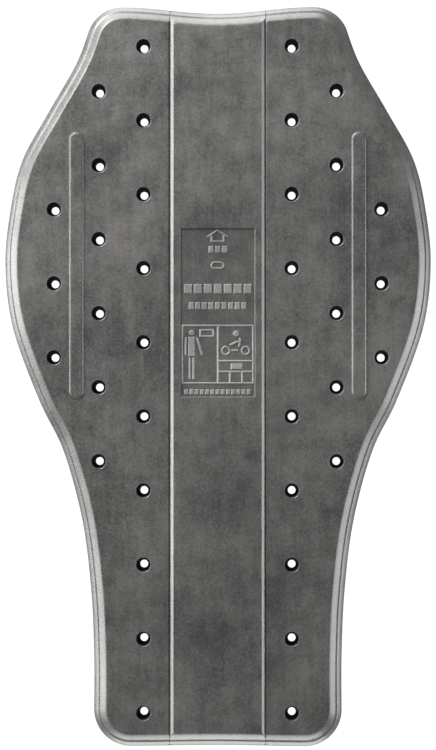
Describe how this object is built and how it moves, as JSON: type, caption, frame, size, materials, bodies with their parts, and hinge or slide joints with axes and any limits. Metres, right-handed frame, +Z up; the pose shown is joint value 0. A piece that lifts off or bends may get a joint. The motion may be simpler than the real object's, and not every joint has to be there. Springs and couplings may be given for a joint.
{
  "type": "back protector",
  "caption": "Flexible foam back protector insert, bevelled rim, tapered vent holes, raised ribs and side wings that fold on lengthwise hinge grooves.",
  "frame": {"origin": "middle of the wearer's face of the spine panel", "axes": "+Z up the wearer's spine, +Y towards the wearer, outer face with the marking field towards -Y"},
  "size_m": [0.2896, 0.0174, 0.503],
  "materials": {
    "foam_skin": "semi-matte moulded skin, grey, faintly mottled",
    "marking_field": "semi-matte moulded skin of a mould insert"
  },
  "bodies": {
    "spine": {"spine_panel": "foam_skin", "marking_field": "marking_field", "left_fold_web": "foam_skin", "right_fold_web": "foam_skin"},
    "left_wing": {"left_wing": "foam_skin", "left_rib": "foam_skin"},
    "right_wing": {"right_wing": "foam_skin", "right_rib": "foam_skin"}
  },
  "joints": [
    {"name": "left_wing_fold", "type": "hinge", "parent": "spine", "child": "left_wing", "pos_m": [-0.0326, -0.004, 0], "axis": [0, 0, -1], "range_deg": [-1, 30], "stiffness_Nm_per_rad": 0.8},
    {"name": "right_wing_fold", "type": "hinge", "parent": "spine", "child": "right_wing", "pos_m": [0.0326, -0.004, 0], "axis": [0, 0, 1], "range_deg": [-1, 30], "stiffness_Nm_per_rad": 0.8}
  ]
}
